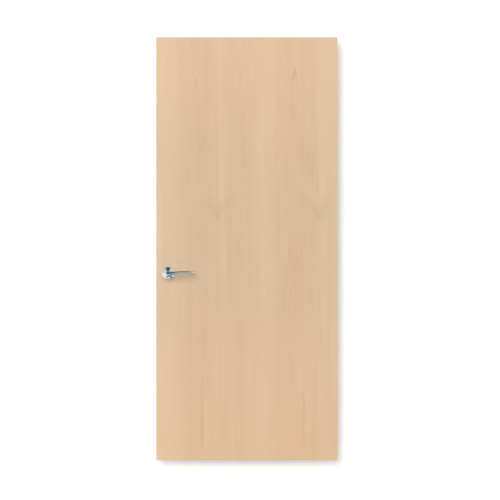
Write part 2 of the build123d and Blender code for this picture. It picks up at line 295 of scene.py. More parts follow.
backFigure = {
    "seed": 11.0,
    "heightTone": [(0, 2.6), (0.2, 1.0), (0.45, 0.0), (0.7, 1.2), (1, 3.6)],
    "heightWarmth": [(0, 3.2), (0.3, 1.0), (0.55, 0.2), (0.8, 1.8), (1, 3.6)],
    "acrossWarmth": [(0, 0.6), (0.5, 0.0), (1, 0.6)],
    "acrossTone": [
        (0, 3), (0.06, 3.6), (0.16, 0.4), (0.27, -1.0), (0.34, 2.4), (0.44, 0.2), (0.53, -1.2),
        (0.62, 2.8), (0.72, 0.2), (0.82, -1.2), (0.89, 2.0), (1, 3.0),
    ],
    "seamEdges": [(0.3105, 3.4, 0.065, 0.003), (0.8155, 3.4, 0.065, 0.004)],
    "patches": [
        (0.16, 1.40, 0.050, 0.26, -2.0), (0.47, 0.72, 0.045, 0.24, -2.0),
        (0.70, 1.24, 0.050, 0.22, -2.2), (0.33, 1.70, 0.022, 0.22, 2.0), (0.60, 0.36, 0.030, 0.22, 2.0),
        (0.86, 0.60, 0.024, 0.22, 1.8),
    ],
    "streaks": [
        (0.1720, 0.0032, 0.22, 0.92, -3.4), (0.4230, 0.0030, 1.02, 1.60, -3.0),
        (0.6840, 0.0032, 0.16, 0.80, -3.6), (0.2560, 0.0026, 1.20, 1.80, -2.0),
        (0.7420, 0.0028, 0.92, 1.62, -2.2), (0.5200, 0.0026, 0.20, 0.80, -1.8),
    ],
    "vees": [(0.1900, 1.720, 0.17, 0.15, -5.4, 2.6), (0.6900, 1.760, 0.16, 0.14, -5.4, 2.6)],
    "eyes": [(0.1900, 1.722, 0.0055, 0.018, -5.0), (0.6900, 1.762, 0.0055, 0.016, -4.0)],
    "butterflies": [(0.3105, 0.850, 3.6, 3.8, -4.6), (0.8155, 0.865, 3.4, 3.8, -4.4)],
    "nests": [(0.2000, 0.55, 0.18, 0.14, 6.0), (0.7000, 0.60, 0.15, 0.16, 6.0)],
}


def veneerLayer(tree, name, across, up, turn):
    acrossScale, upScale, seedStep, detail, roughness, amount = veneer["layers"][name]
    where = vector(tree, across * acrossScale, up * upScale, turn * seedStep)
    return noise(tree, where, 1.0, detail, roughness) * amount


def total(signals):
    result = signals[0]
    for signal in signals[1:]:
        result = result + signal
    return result


def spotMarks(figure, grain, height):
    marks = []
    for place, up, halfWidth, halfHeight, strength in figure["patches"]:
        patch = grain.bell(place, halfWidth) * height.bell(up, halfHeight)
        marks.append(patch * (strength * veneer["patchStrength"]))
    for place, up, halfWidth, halfHeight, strength in figure["eyes"]:
        marks.append(grain.bell(place, halfWidth) * height.bell(up, halfHeight) * strength)
    for place, halfWidth, low, high, strength in figure["streaks"]:
        streak = grain.bell(place, halfWidth) * height.between(low, high, veneer["streakEnd"])
        marks.append(streak * (strength * veneer["streakStrength"]))
    return total(marks)


# A tip is a dark inverted V below a pale one. The lines of a nest run down from a tip of their own.
def tipMarks(tree, figure, grain, height, turn):
    marks = []
    for place, tip, slope, length, strength, above in figure["vees"]:
        ridge = ((grain - place).squared() + tips["rounding"]).math("SQRT")
        leg = ridge + (height - tip) * slope
        fade = height.step(tip - length, tip - length * 0.4)
        dark = leg.bell(tips["darkOff"], tips["darkWidth"]) * height.step(tip + 0.05, tip)
        pale = leg.bell(tips["paleOff"], tips["paleWidth"]) * height.step(tip + 0.07, tip + 0.02)
        marks.append((dark * strength + pale * above) * fade)
    for place, tip, slope, halfHeight, contrast in figure["nests"]:
        ridge = ((grain - place).squared() + tips["nestRounding"]).math("SQRT")
        leg = ridge - (height - tip) * slope
        where = vector(tree, leg * tips["nestLines"], height * 1.2, turn)
        lines = noise(tree, where, 1.0, 1.0) * contrast
        marks.append(lines * height.bell(tip + halfHeight, halfHeight) * grain.bell(place, tips["nestWidth"]))
    return total(marks)


# Butterflies on the seams: pale loops beside a dark line, over a dark band that lifts at its ends
def butterflyMarks(figure, across, height, quick):
    marks = []
    for seam, up, left, right, strength in figure["butterflies"]:
        off = (across - seam).math("ABSOLUTE") + quick
        rightSide = across.step(seam - 0.001, seam + 0.001)
        lift = height - up
        loops = off.bell(butterfly["loopOff"], butterfly["loopWidth"]) * (rightSide * (right - left) + left)
        loops = loops * lift.bell(butterfly["loopLift"], butterfly["loopHeight"])
        line = off.bell(0.0, butterfly["lineWidth"]) * butterfly["lineTone"]
        line = line * lift.between(butterfly["lineLow"], butterfly["lineHigh"], veneer["streakEnd"])
        band = (lift - off * butterfly["bandSlope"]).bell(butterfly["bandLift"], butterfly["bandHeight"])
        band = band * off.step(butterfly["bandEnd"], butterfly["bandFull"])
        spot = lift.bell(butterfly["spotLift"], butterfly["spotHeight"])
        spot = spot * off.bell(0.0, butterfly["spotWidth"])
        marks.append(loops + line + (band + spot) * strength)
    return total(marks)


def veneerMaterial(name, figure):
    material, tree, shader = newMaterial(name, roughness=veneer["roughness"], specular=veneer["specular"])
    x, y, z = objectPlace(tree)
    across = x - lockEdge
    height = z - leafBottom
    match = (across - firstSeam + 2 * leafWidth).math("PINGPONG", leafWidth)  # mirrored at each seam
    turn = ((across - firstSeam + 2 * leafWidth) / leafWidth).math("FLOOR") + figure["seed"]
    slow = veneerLayer(tree, "slow", match, height, turn)
    quick = veneerLayer(tree, "quick", match, height, turn)
    sway = slow + quick
    grain = across + sway
    mirrored = match + sway

    # Broad bands, then the grain: soft mottling, streaks of several lengths, ripple and pores
    tone = (across + slow).curve(figure["acrossTone"], hingeEdge - lockEdge)
    tone = tone + height.curve(figure["heightTone"], leafTop - leafBottom)
    names = ("broad", "mottle", "medium", "fine", "ripple", "pores", "breakUp", "lively")
    layers = [veneerLayer(tree, layer, mirrored, height, turn) for layer in names]
    broad, mottle, medium, fine, ripple, pores, breakUp, lively = layers
    pores = pores.step(0.06, 0.20) * veneer["poreTone"]
    breakUp = breakUp + 1.0
    lively = lively + 0.85
    tone = tone + broad + veneer["baseTone"]
    grainTone = mottle + (medium + fine) * lively + ripple + pores

    for place, strength, reach, softness in figure["seamEdges"]:
        beyond = across.step(place, place + reach) * -1.0 + 1.0
        edge = grain.step(place - softness, place + softness) * beyond
        tone = tone + edge * height.step(*veneer["seamFade"]) * strength
    marks = pores * veneer["poreMarks"] + spotMarks(figure, grain, height)
    marks = marks + tipMarks(tree, figure, grain, height, turn)
    marks = marks + butterflyMarks(figure, across, height, quick)
    grainTone = grainTone + marks * breakUp

    warmth = height.curve(figure["heightWarmth"], leafTop - leafBottom)
    warmth = warmth + across.curve(figure["acrossWarmth"], hingeEdge - lockEdge)
    colour = tint(tree, veneer["colour"], tone, veneer["toneWeights"])
    colour = tint(tree, colour, grainTone, veneer["markWeights"])
    colour = tint(tree, colour, warmth, veneer["warmWeights"])
    blush = veneerLayer(tree, "blush", mirrored, height, turn)  # yellower and pinker zones
    colour = tint(tree, colour, blush, veneer["blushWeights"])
    tree.links.new(colour, shader.inputs["Base Color"])
    gloss = noise(tree, vector(tree, x * 40.0, y, z * 4.0), 1.0) * veneer["glossPatches"]
    tree.links.new((gloss + veneer["roughness"]).socket, shader.inputs["Roughness"])
    bump(tree, shader, fine * 0.05 + pores * 0.05, 0.0002, 0.3)
    return material


paint([f"front_veneer_leaf_{n}" for n in range(1, 6)], veneerMaterial("frontVeneer", frontFigure))
paint([f"back_veneer_leaf_{n}" for n in range(1, 6)], veneerMaterial("backVeneer", backFigure))
print("veneer painted")


# Solid woods: growth rings round a pith beyond the piece, so long faces show lines and ends show arcs
woods = {
    "lipping": {
        "colour": (0.690, 0.500, 0.330), "ring": 0.0026, "ringTone": 9.0, "sway": 0.0022,
        "pith": (0.030, -0.046), "poreTone": 7.0, "fibreTone": 12.0, "seed": 2.0,
    },
    "stile": {
        "colour": (0.640, 0.440, 0.250), "ring": 0.0041, "ringTone": 16.0, "sway": 0.0034,
        "pith": (0.085, 0.060), "poreTone": 5.0, "fibreTone": 12.0, "seed": 5.0,
    },
}
woodLayers = {  # scale across and along the grain, detail, strength
    "drift": (9.0, 1.3, 2.0, 9.0),
    "tremor": (60.0, 6.0, 2.0, 1.0),
    "fibre": (1500.0, 26.0, 2.0, 1.0),
    "pores": (2600.0, 90.0, 1.0, 1.0),
    "broad": (30.0, 2.4, 2.0, 14.0),
}
boards = {
    "crossband": {
        "colour": (0.330, 0.215, 0.125), "chip": (900.0, 900.0, 900.0), "chipTone": 16.0,
        "dust": 3200.0, "dustTone": 14.0, "seed": 3.0,
    },
    "core": {
        "colour": (0.520, 0.380, 0.230), "chip": (240.0, 620.0, 170.0), "chipTone": 34.0,
        "dust": 1500.0, "dustTone": 16.0, "seed": 8.0,
    },
}
metals = {
    "chrome": {
        "colour": (0.560, 0.620, 0.632), "roughness": 0.06, "wear": 0.03,
        "stretch": (60.0, 60.0, 60.0), "tone": 3.0, "bump": 0.00001,
    },
    "satinSteel": {
        "colour": (0.430, 0.425, 0.412), "roughness": 0.30, "wear": 0.24,
        "stretch": (2600.0, 2600.0, 30.0), "tone": 34.0, "bump": 0.00005,
    },
    "zincSteel": {
        "colour": (0.560, 0.580, 0.600), "roughness": 0.38, "wear": 0.25,
        "stretch": (260.0, 260.0, 260.0), "tone": 22.0, "bump": 0.00004,
    },
}
metalStains = {"scale": 34.0, "share": 0.6}
metalWeights = (0.010, 0.010, 0.010)


def woodLayer(tree, name, spot, seed):
    across, along, detail, strength = woodLayers[name]
    wide, deep, long = spot
    where = vector(tree, wide * across, deep * across + seed, long * along)
    return noise(tree, where, 1.0, detail) * strength


def woodMaterial(name, kind, along="z"):
    wood = woods[kind]
    material, tree, shader = newMaterial(name, roughness=0.6, specular=0.3)
    x, y, z = objectPlace(tree)
    spot = (x, y, z) if along == "z" else (z, y, x)
    wide, deep, long = spot
    seed = wood["seed"]
    sway = woodLayer(tree, "drift", spot, seed) + woodLayer(tree, "tremor", spot, seed)
    pithX, pithY = wood["pith"]
    reach = ((wide - pithX).squared() + (deep - pithY).squared()).math("SQRT") + sway * wood["sway"]
    late = (reach / wood["ring"]).math("FRACT")
    rings = late.step(0.25, 0.92) * (late.step(0.93, 1.0) * -1.0 + 1.0)
    strong = noise(tree, vector(tree, reach * 60.0, seed, 0.0), 1.0, 1.0) * 1.8 + 0.8
    fibre = woodLayer(tree, "fibre", spot, 0.0)
    pores = woodLayer(tree, "pores", spot, seed).step(0.08, 0.22)
    tone = fibre * wood["fibreTone"] + woodLayer(tree, "broad", spot, seed) + 3.0
    tone = tone - rings * strong * wood["ringTone"] - pores * wood["poreTone"]
    tree.links.new(tint(tree, wood["colour"], tone, veneer["toneWeights"]), shader.inputs["Base Color"])
    tree.links.new((fibre * 0.3 + pores * 0.1 + 0.58).socket, shader.inputs["Roughness"])
    bump(tree, shader, fibre - pores * 0.6, 0.0001, 0.5)
    return material


def boardMaterial(name):
    board = boards[name]
    material, tree, shader = newMaterial(name, roughness=0.75, specular=0.2)
    x, y, z = objectPlace(tree)
    chipX, chipY, chipZ = board["chip"]
    cells = tree.nodes.new("ShaderNodeTexVoronoi")
    cells.inputs["Scale"].default_value = 1.0
    where = vector(tree, x * chipX, y * chipY + board["seed"], z * chipZ)
    tree.links.new(where, cells.inputs["Vector"])
    parts = tree.nodes.new("ShaderNodeSeparateXYZ")
    tree.links.new(cells.outputs["Color"], parts.inputs[0])
    chips = Signal(tree, parts.outputs[0]) - 0.5
    gaps = Signal(tree, cells.outputs["Distance"]).step(0.42, 0.75)
    dust = noise(tree, vector(tree, x, y, z), board["dust"], 2.0)
    broad = noise(tree, vector(tree, x, y, z), 12.0, 2.0)
    tone = (chips - gaps * 0.5) * board["chipTone"] + dust * board["dustTone"] + broad * 10.0
    tree.links.new(tint(tree, board["colour"], tone, veneer["toneWeights"]), shader.inputs["Base Color"])
    tree.links.new((dust * 0.2 + 0.75).socket, shader.inputs["Roughness"])
    bump(tree, shader, dust - gaps * 0.6, 0.0002, 0.6)
    return material


def metalMaterial(name):
    metal = metals[name]
    material, tree, shader = newMaterial(name, 1.0, metal["roughness"])
    x, y, z = objectPlace(tree)
    stretchX, stretchY, stretchZ = metal["stretch"]
    grain = noise(tree, vector(tree, x * stretchX, y * stretchY, z * stretchZ), 1.0, 3.0, 0.6)
    stains = noise(tree, vector(tree, x, y, z), metalStains["scale"], 3.0, 0.6)
    marks = grain + stains * metalStains["share"]
    colour = tint(tree, metal["colour"], marks * metal["tone"], metalWeights)
    tree.links.new(colour, shader.inputs["Base Color"])
    rough = marks * metal["wear"] + metal["roughness"]
    tree.links.new(rough.math("MAXIMUM", 0.03).socket, shader.inputs["Roughness"])
    bump(tree, shader, grain, metal["bump"], 0.4)
    return material


chrome = metalMaterial("chrome")
satinSteel = metalMaterial("satinSteel")
zincSteel = metalMaterial("zincSteel")
paint(["lock_lipping", "hinge_lipping"], woodMaterial("lipping", "lipping"))
paint(["lock_stile", "hinge_stile"], woodMaterial("stile", "stile"))
paint(["top_rail", "bottom_rail"], woodMaterial("rail", "stile", "x"))
paint(["front_crossband", "back_crossband"], boardMaterial("crossband"))
paint(["core_slab"], boardMaterial("core"))
paint(["latch_faceplate", "latch_bolt"], satinSteel)
paint(["latch_case", "latch_hub", "spindle", "front_rose_plate", "back_rose_plate"], zincSteel)
paint(["front_grub_screw", "back_grub_screw", "front_retaining_ring", "back_retaining_ring"], zincSteel)
print("woods, boards and metals painted")


# Trees of Geometry Nodes, and what turns their result into a plain piece
def newTree(name, *sizes):
    tree = bpy.data.node_groups.new(name, "GeometryNodeTree")
    tree.interface.new_socket("Geometry", in_out="INPUT", socket_type="NodeSocketGeometry")
    for label, kind in sizes:
        tree.interface.new_socket(label, in_out="INPUT", socket_type="NodeSocket" + kind)
    tree.interface.new_socket("Geometry", in_out="OUTPUT", socket_type="NodeSocketGeometry")
    return tree, tree.nodes.new("NodeGroupInput"), tree.nodes.new("NodeGroupOutput")


def addNode(tree, kind, wires=(), **settings):  # wires: input name or number, and the socket that feeds it
    node = tree.nodes.new(kind)
    for key, value in settings.items():
        setattr(node, key, value)
    for slot, source in wires:
        if isinstance(source, bpy.types.NodeSocket):
            tree.links.new(source, node.inputs[slot])
        else:
            node.inputs[slot].default_value = source
    return node


def finishTree(tree, groupInput, groupOutput, geometry):
    real = addNode(tree, "GeometryNodeRealizeInstances", [("Geometry", geometry)])
    finish = [("Geometry", real.outputs[0]), ("Material", groupInput.outputs["Finish"])]
    painted = addNode(tree, "GeometryNodeSetMaterial", finish)
    tree.links.new(painted.outputs[0], groupOutput.inputs[0])


def grow(name, tree, points, edges, sizes):  # runs a tree on a small guide mesh and returns a plain mesh
    guide = bpy.data.meshes.new(name + "Guide")
    guide.from_pydata(points, edges, [])
    holder = bpy.data.objects.new(name + "Guide", guide)
    scene.collection.objects.link(holder)
    modifier = holder.modifiers.new("nodes", "NODES")
    modifier.node_group = tree
    for item in tree.interface.items_tree:
        if item.in_out == "INPUT" and item.name in sizes:
            modifier[item.identifier] = sizes[item.name]
    bpy.context.view_layer.update()
    evaluated = holder.evaluated_get(bpy.context.evaluated_depsgraph_get())
    mesh = bpy.data.meshes.new_from_object(evaluated)
    bpy.data.objects.remove(holder)
    mesh.name = name
    return mesh


def place(name, mesh, body, slot, *replaced):
    piece = bpy.data.objects.new(name, mesh)
    scene.collection.objects.link(piece)
    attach(piece, body)
    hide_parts(*replaced)


sharpAngles = {"spun": 32, "lever": 50, "screw": 30}  # degrees from which an edge stays sharp


def smooth(mesh, angle):
    for face in mesh.polygons:
        face.use_smooth = True
    mesh.set_sharp_from_angle(angle=math.radians(angle))
    mesh.update()


# From a fitting's own axes, with its height along Z, to the front or the back of the leaf
outOfFront = Matrix(((1, 0, 0, handleX), (0, 0, -1, frontFace), (0, 1, 0, handleZ), (0, 0, 0, 1)))
outOfBack = Matrix(((-1, 0, 0, handleX), (0, 0, 1, backFace), (0, 1, 0, handleZ), (0, 0, 0, 1)))


cornerSteps = 5
weldDistance = 0.00001


def spinProfileTree():
    sizes = [("Radius", "Float"), ("Steps", "Int"), ("Rounding", "Float"), ("Finish", "Material")]
    tree, inputs, outputs = newTree("spinProfile", *sizes)
    line = addNode(tree, "GeometryNodeMeshToCurve", [("Mesh", inputs.outputs["Geometry"])])
    wires = [("Curve", line.outputs[0]), ("Count", cornerSteps), ("Radius", inputs.outputs["Rounding"]),
             ("Limit Radius", True)]
    eased = addNode(tree, "GeometryNodeFilletCurve", wires, mode="POLY")
    wires = [("Resolution", inputs.outputs["Steps"]), ("Radius", inputs.outputs["Radius"])]
    circle = addNode(tree, "GeometryNodeCurvePrimitiveCircle", wires)
    wires = [("Curve", circle.outputs["Curve"]), ("Profile Curve", eased.outputs[0])]
    shell = addNode(tree, "GeometryNodeCurveToMesh", wires)
    finishTree(tree, inputs, outputs, shell.outputs[0])
    return tree


def spun(name, profile, rounding, finish, steps=160):  # profile: closed, as (radius, height) points
    middle = sum(radius for radius, height in profile) / len(profile)
    points = [(radius - middle, -height, 0.0) for radius, height in profile]
    edges = [(i, (i + 1) % len(points)) for i in range(len(points))]
    sizes = {"Radius": middle, "Steps": steps, "Rounding": rounding, "Finish": finish}
    mesh = grow(name, spinTree, points, edges, sizes)
    form = bmesh.new()
    form.from_mesh(mesh)
    bmesh.ops.remove_doubles(form, verts=form.verts, dist=weldDistance)
    bmesh.ops.recalc_face_normals(form, faces=form.faces)
    form.to_mesh(mesh)
    form.free()
    smooth(mesh, sharpAngles["spun"])
    return mesh


spinTree = spinProfileTree()

# Rose covers
rose = {
    "profile": ((0.0310, 0.0002), (0.0310, 0.0040), (0.0124, 0.0105), (0.0096, 0.0105), (0.0096, 0.0090),
                (0.0121, 0.0090), (0.0295, 0.0030), (0.0295, 0.0002)),
    "rounding": 0.0007,
}
for side, matrix in (("front", outOfFront), ("back", outOfBack)):
    mesh = spun(side + "Rose", rose["profile"], rose["rounding"], chrome)
    mesh.transform(matrix)
    place(side + "Rose", mesh, "leaf", "chrome", side + "_rose_cover")
print("rose covers made")

# Levers: an oval bar that swells into its root, run together with the neck that carries it
lever = {
    # along the arm, rise, distance from the leaf, half height, half depth, squareness, where 2 is an oval
    "sections": (
        (-0.018, -0.0065, 0.0450, 0.0142, 0.0103, 2.0),
        (-0.004, -0.0062, 0.0450, 0.0150, 0.0109, 2.0),
        (0.014, -0.0030, 0.0450, 0.0118, 0.0099, 2.1),
        (0.042, 0.0036, 0.0450, 0.0064, 0.0080, 2.7),
        (0.080, 0.0057, 0.0450, 0.0058, 0.0075, 3.0),
        (0.116, 0.0052, 0.0438, 0.0055, 0.0071, 2.8),
        (0.141, 0.0042, 0.0380, 0.0053, 0.0062, 2.4),
    ),
    "rootEnd": -0.0169, "rootRound": 0.0135, "tipEnd": 0.1409, "tipRound": 0.0036,
    "around": 64, "steps": 120,
    "waistRadius": 0.0082, "waistFoot": 0.0140, "waistTop": 0.0440, "waistAround": 64,
    "voxel": 0.00055, "smoothing": 14,
    "grubHeight": 0.0185, "grubRadius": 0.0026, "grubCentre": -0.0075, "grubDepth": 0.005, "grubAround": 48,
    "neck": ((0.0058, -0.0035), (0.0090, -0.0035), (0.0090, -0.0015), (0.0080, -0.0015), (0.0080, -0.0003),
             (0.0090, -0.0003), (0.0090, 0.0110), (0.0120, 0.0110), (0.0120, 0.0134), (0.0083, 0.0154),
             (0.0058, 0.0154)),
    "neckRounding": 0.00025, "neckAround": 96,
}


def smoothRow(rows, at):  # a smooth line through rows of numbers, the first of which is the place
    for i in range(len(rows) - 1):
        if at <= rows[i + 1][0] or i == len(rows) - 2:
            low, high = rows[i], rows[i + 1]
            before, after = rows[max(i - 1, 0)], rows[min(i + 2, len(rows) - 1)]
            span = high[0] - low[0]
            t = (at - low[0]) / span
            values = []
            for k in range(1, len(low)):
                slopeLow = (high[k] - before[k]) / (high[0] - before[0]) * span
                slopeHigh = (after[k] - low[k]) / (after[0] - low[0]) * span
                values.append(
                    low[k] * (2 * t**3 - 3 * t**2 + 1) + slopeLow * (t**3 - 2 * t**2 + t)
                    + high[k] * (3 * t**2 - 2 * t**3) + slopeHigh * (t**3 - t**2)
                )
            return values


def addRod(form, radius, depth, around, matrix):
    bmesh.ops.create_cone(
        form, cap_ends=True, segments=around, radius1=radius, radius2=radius, depth=depth, matrix=matrix,
    )


def leverArm(form):
    rings = []
    for i in range(1, lever["steps"]):
        share = 0.5 - 0.5 * math.cos(math.pi * i / lever["steps"])  # closer together at both ends
        along = lever["rootEnd"] + (lever["tipEnd"] - lever["rootEnd"]) * share
        rise, out, halfHeight, halfDepth, squareness = smoothRow(lever["sections"], along)
        gap = min((along - lever["rootEnd"]) / lever["rootRound"], 1.0)
        scale = math.sqrt(1 - (1 - gap) ** 2)
        gap = min((lever["tipEnd"] - along) / lever["tipRound"], 1.0)
        scale *= math.sqrt(1 - (1 - gap) ** 2)
        ring = []
        for k in range(lever["around"]):
            turn = 2 * math.pi * k / lever["around"]
            up = math.copysign(abs(math.cos(turn)) ** (2 / squareness), math.cos(turn))
            forward = math.copysign(abs(math.sin(turn)) ** (2 / squareness), math.sin(turn))
            corner = (along, rise + halfHeight * scale * up, out + halfDepth * scale * forward)
            ring.append(form.verts.new(corner))
        rings.append(ring)
    for first, second in zip(rings, rings[1:]):
        for k in range(lever["around"]):
            n = (k + 1) % lever["around"]
            form.faces.new((first[k], first[n], second[n], second[k]))
    form.faces.new(reversed(rings[0]))
    form.faces.new(rings[-1])
    middle = (lever["waistFoot"] + lever["waistTop"]) / 2
    depth = lever["waistTop"] - lever["waistFoot"]
    addRod(form, lever["waistRadius"], depth, lever["waistAround"], Matrix.Translation((0, 0, middle)))
    bmesh.ops.recalc_face_normals(form, faces=form.faces)


def throughModifiers(name, mesh, *modifiers):  # runs modifiers on a mesh and returns the plain result
    holder = bpy.data.objects.new(name, mesh)
    scene.collection.objects.link(holder)
    for kind, settings in modifiers:
        modifier = holder.modifiers.new(kind, kind)
        for key, value in settings.items():
            setattr(modifier, key, value)
    bpy.context.view_layer.update()
    result = bpy.data.meshes.new_from_object(holder.evaluated_get(bpy.context.evaluated_depsgraph_get()))
    bpy.data.objects.remove(holder)
    result.name = name
    return result


def leverMesh(name):
    form = bmesh.new()
    leverArm(form)
    rough = bpy.data.meshes.new(name)
    form.to_mesh(rough)
    form.free()
    cutter = bpy.data.meshes.new("grubHole")
    hole = bmesh.new()
    centre = Matrix.Translation((0, lever["grubCentre"], lever["grubHeight"]))
    sideways = centre @ Matrix.Rotation(math.radians(90), 4, "X")
    addRod(hole, lever["grubRadius"], lever["grubDepth"], lever["grubAround"], sideways)
    hole.to_mesh(cutter)
    hole.free()
    cutterObject = bpy.data.objects.new("grubHole", cutter)
    scene.collection.objects.link(cutterObject)
    mesh = throughModifiers(
        name, rough,
        ("REMESH", {"mode": "VOXEL", "voxel_size": lever["voxel"], "use_smooth_shade": True}),
        ("SMOOTH", {"factor": 0.5, "iterations": lever["smoothing"]}),
        ("BOOLEAN", {"object": cutterObject, "operation": "DIFFERENCE"}),
    )
    bpy.data.objects.remove(cutterObject)
    mesh.materials.clear()
    mesh.materials.append(chrome)
    smooth(mesh, sharpAngles["lever"])
    neck = spun(name + "Neck", lever["neck"], lever["neckRounding"], chrome, lever["neckAround"])
    both = bmesh.new()
    both.from_mesh(mesh)
    both.from_mesh(neck)
    both.to_mesh(mesh)
    both.free()
    return mesh


# The back lever is the front one's mirror image
frontLeverMesh = leverMesh("frontLever")
backLeverMesh = frontLeverMesh.copy()
backLeverMesh.name = "backLever"
frontLeverMesh.transform(outOfFront)
backLeverMesh.transform(Matrix.Scale(-1, 4, (0, 1, 0)) @ outOfFront)
backLeverMesh.flip_normals()
place("frontLever", frontLeverMesh, "handle", "chrome", "front_lever")
place("backLever", backLeverMesh, "handle", "chrome", "back_lever")
print("levers made")


# Slotted screws
def screwTree():
    sizes = [("Head Radius", "Float"), ("Shank Radius", "Float"), ("Length", "Float"), ("Slot", "Float"),
             ("Turn", "Vector"), ("Seed", "Int"), ("Finish", "Material")]
    tree, inputs, outputs = newTree("slottedScrews", *sizes)
    given = inputs.outputs
    headRadius, shankRadius, length, slot = (given[name] for name, kind in sizes[:4])

    def calculated(operation, first, second):
        return addNode(tree, "ShaderNodeMath", [(0, first), (1, second)], operation=operation).outputs[0]

    def shifted(mesh, height):
        offset = addNode(tree, "ShaderNodeCombineXYZ", [("Z", height)])
        wires = [("Geometry", mesh), ("Translation", offset.outputs[0])]
        return addNode(tree, "GeometryNodeTransform", wires).outputs[0]

    depth = calculated("SUBTRACT", headRadius, shankRadius)  # of the countersunk head
    wires = [("Vertices", screws["headAround"]), ("Radius Top", headRadius), ("Radius Bottom", shankRadius),
             ("Depth", depth)]
    cone = addNode(tree, "GeometryNodeMeshCone", wires)
    head = shifted(cone.outputs["Mesh"], calculated("MULTIPLY", depth, -1.0))
    wires = [("Vertices", screws["shankAround"]), ("Radius", shankRadius), ("Depth", length)]
    rod = addNode(tree, "GeometryNodeMeshCylinder", wires)
    rodHeight = calculated("ADD", calculated("MULTIPLY", length, -0.5), -screws["shankDrop"])
    shank = shifted(rod.outputs["Mesh"], rodHeight)
    wires = [("X", calculated("MULTIPLY", headRadius, screws["slotReach"])), ("Y", slot),
             ("Z", calculated("MULTIPLY", slot, screws["slotReach"]))]
    block = addNode(tree, "ShaderNodeCombineXYZ", wires)
    cube = addNode(tree, "GeometryNodeMeshCube", [("Size", block.outputs[0])])
    wires = [("Mesh 1", head), ("Mesh 2", cube.outputs["Mesh"])]
    cut = addNode(tree, "GeometryNodeMeshBoolean", wires, operation="DIFFERENCE")
    whole = addNode(tree, "GeometryNodeJoinGeometry")
    tree.links.new(shank, whole.inputs[0])
    tree.links.new(cut.outputs[0], whole.inputs[0])

    wires = [(2, 0.0), (3, screws["turnRange"]), ("Seed", given["Seed"])]
    spin = addNode(tree, "FunctionNodeRandomValue", wires, data_type="FLOAT")
    own = addNode(tree, "ShaderNodeCombineXYZ", [("Z", spin.outputs[1])])
    spots = addNode(tree, "GeometryNodeMeshToPoints", [("Mesh", given["Geometry"])])
    wires = [("Points", spots.outputs[0]), ("Instance", whole.outputs[0]), ("Rotation", given["Turn"])]
    placed = addNode(tree, "GeometryNodeInstanceOnPoints", wires)
    wires = [("Instances", placed.outputs[0]), ("Rotation", own.outputs[0])]
    turned = addNode(tree, "GeometryNodeRotateInstances", wires)
    finishTree(tree, inputs, outputs, turned.outputs[0])
    return tree


screws = {
    "faceplate": {
        "Head Radius": 0.0042, "Shank Radius": 0.0019, "Length": 0.0197, "Slot": 0.0012, "Seed": 4,
    },
    "rose": {
        "Head Radius": 0.0038, "Shank Radius": 0.0019, "Length": 0.0480, "Slot": 0.0012, "Seed": 7,
    },
    "sunk": 0.00005,
    "shankDrop": 0.0003,  # from the face to the top of the shank
    "slotReach": 2.4,  # the cutter's length in head radii, and its depth in slot widths
    "turnRange": 3.14,
    "headAround": 64,
    "shankAround": 32,
}
slottedTree = screwTree()


def screwSet(name, kind, spots, turn, finish, slot, *replaced):
    mesh = grow(name, slottedTree, spots, [], {**screws[kind], "Turn": turn, "Finish": finish})
    smooth(mesh, sharpAngles["screw"])
    place(name, mesh, "leaf", slot, *replaced)


faceplateSpots = []
roseSpots = []
for end in ("lower", "upper"):
    low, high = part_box(end + "_faceplate_screw")
    faceplateSpots.append((low.x + screws["sunk"], (low.y + high.y) / 2, (low.z + high.z) / 2))
    low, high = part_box(end + "_rose_bolt")
    roseSpots.append(((low.x + high.x) / 2, high.y - screws["sunk"], (low.z + high.z) / 2))
outOfEdge = (0, math.radians(-90), 0)
outOfBackFace = (math.radians(-90), 0, 0)
screwSet("faceplateScrews", "faceplate", faceplateSpots, outOfEdge, satinSteel, "satin_steel",
         "lower_faceplate_screw", "upper_faceplate_screw")
screwSet("roseBolts", "rose", roseSpots, outOfBackFace, zincSteel, "steel",
         "lower_rose_bolt", "upper_rose_bolt")
print("screws made")

# Stage, lamps and camera
stage = {
    "wallGap": 0.072,  # between the leaf's back face and the wall
    "floorGap": 0.250,  # below the leaf's foot
    "worldStrength": 0.372,
    "keyPower": 1.84,
    "keySpread": 48.0,
    "keySlope": (0.140, 1.0, -0.450),
    "backPower": 2.02,
    "backSlope": (-0.140, -1.0, -0.450),
    "wallPower": 1.77,
    "wallSpread": 27.0,
    "wallSlope": (0.175, 1.0, -0.250),
    "wallGrey": 0.92,
    "wallGlow": 0.232,
    "wallReach": 6.0,
    "wallTop": 7.0,
    "floorGrey": 0.70,
    "floorGlow": 0.72,
    "floorReach": 9.0,
    "floorFront": -14.0,
}
camera = {"distance": 12.0, "fieldWidth": 2.523, "centreX": 0.4731, "centreZ": 1.060}


